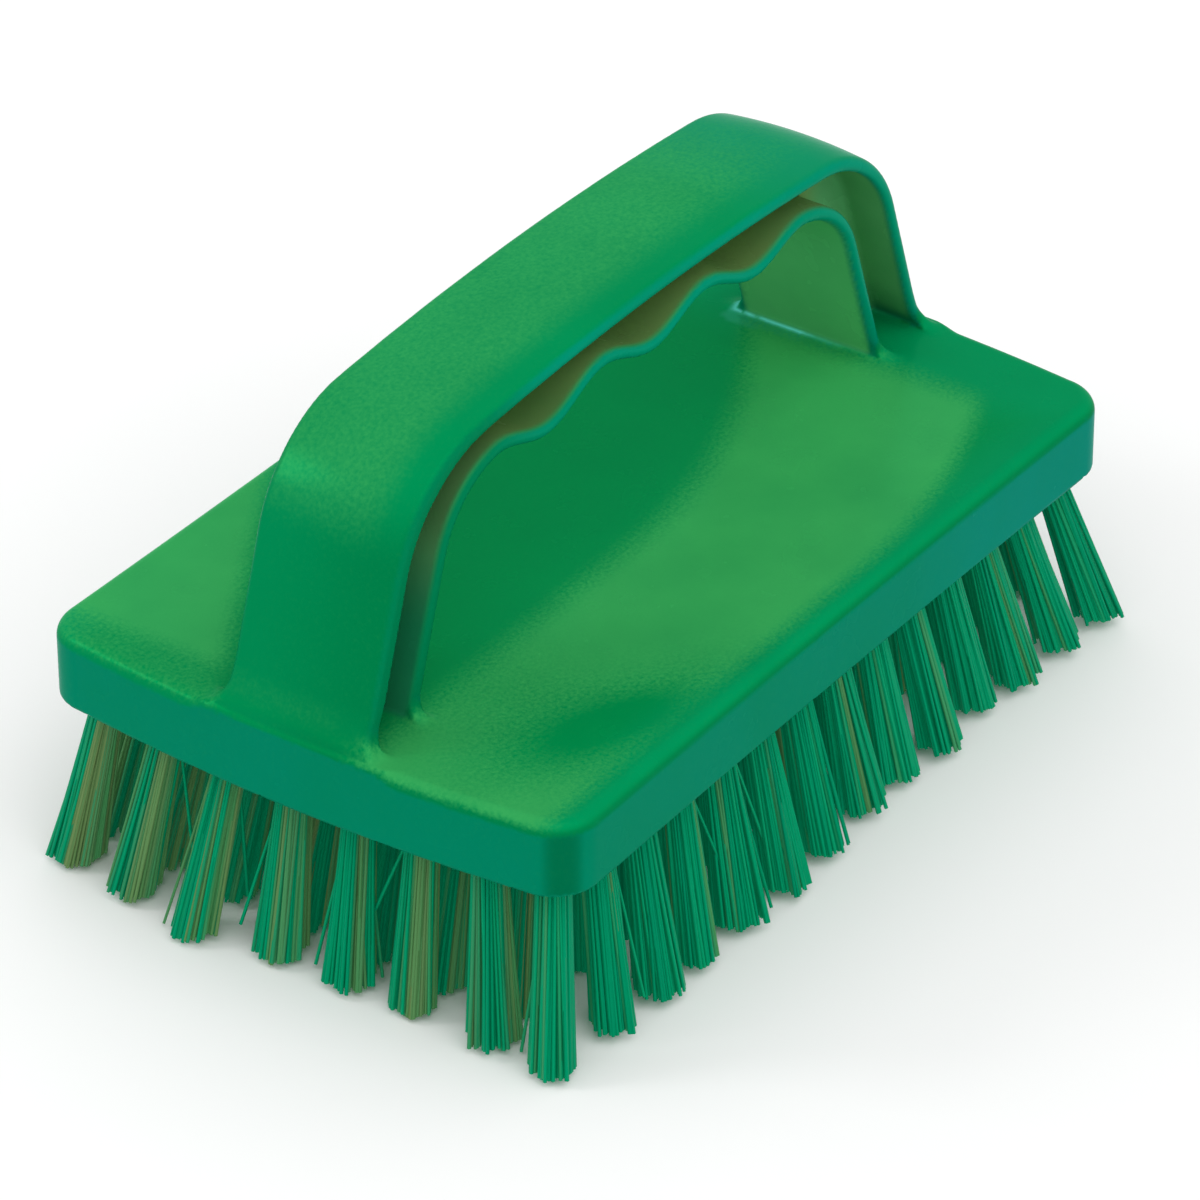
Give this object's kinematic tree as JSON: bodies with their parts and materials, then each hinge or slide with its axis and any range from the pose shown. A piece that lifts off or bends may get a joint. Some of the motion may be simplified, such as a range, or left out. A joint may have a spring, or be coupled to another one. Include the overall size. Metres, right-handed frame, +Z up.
{
  "type": "hand brush",
  "caption": "Hand scrubbing brush: a green moulded block with a D-shaped finger-grip handle and rows of stiff bristle tufts below",
  "frame": {"origin": "under the middle of the brush, level with the bristle tips", "axes": "+X along the block's length, +Y across it, +Z up from the bristles to the handle"},
  "size_m": [0.1522, 0.097, 0.0857],
  "materials": {
    "moulding": "semi-gloss moulded polypropylene, coloured through",
    "bristle": "drawn polyester filament, slightly glossy",
    "anchor_wire": "flat stainless wire"
  },
  "bodies": {
    "root": {"handle_block": "moulding", "tuft_row_01": "bristle", "tuft_row_02": "bristle", "tuft_row_03": "bristle", "tuft_row_04": "bristle", "tuft_row_05": "bristle", "tuft_row_06": "bristle", "tuft_row_07": "bristle", "tuft_row_08": "bristle", "tuft_row_09": "bristle", "tuft_row_10": "bristle", "tuft_row_11": "bristle", "tuft_row_12": "bristle", "tuft_row_13": "bristle", "tuft_row_14": "bristle", "anchor_row_01": "anchor_wire", "anchor_row_02": "anchor_wire", "anchor_row_03": "anchor_wire", "anchor_row_04": "anchor_wire", "anchor_row_05": "anchor_wire", "anchor_row_06": "anchor_wire", "anchor_row_07": "anchor_wire", "anchor_row_08": "anchor_wire", "anchor_row_09": "anchor_wire", "anchor_row_10": "anchor_wire", "anchor_row_11": "anchor_wire", "anchor_row_12": "anchor_wire", "anchor_row_13": "anchor_wire", "anchor_row_14": "anchor_wire"}
  },
  "joints": []
}
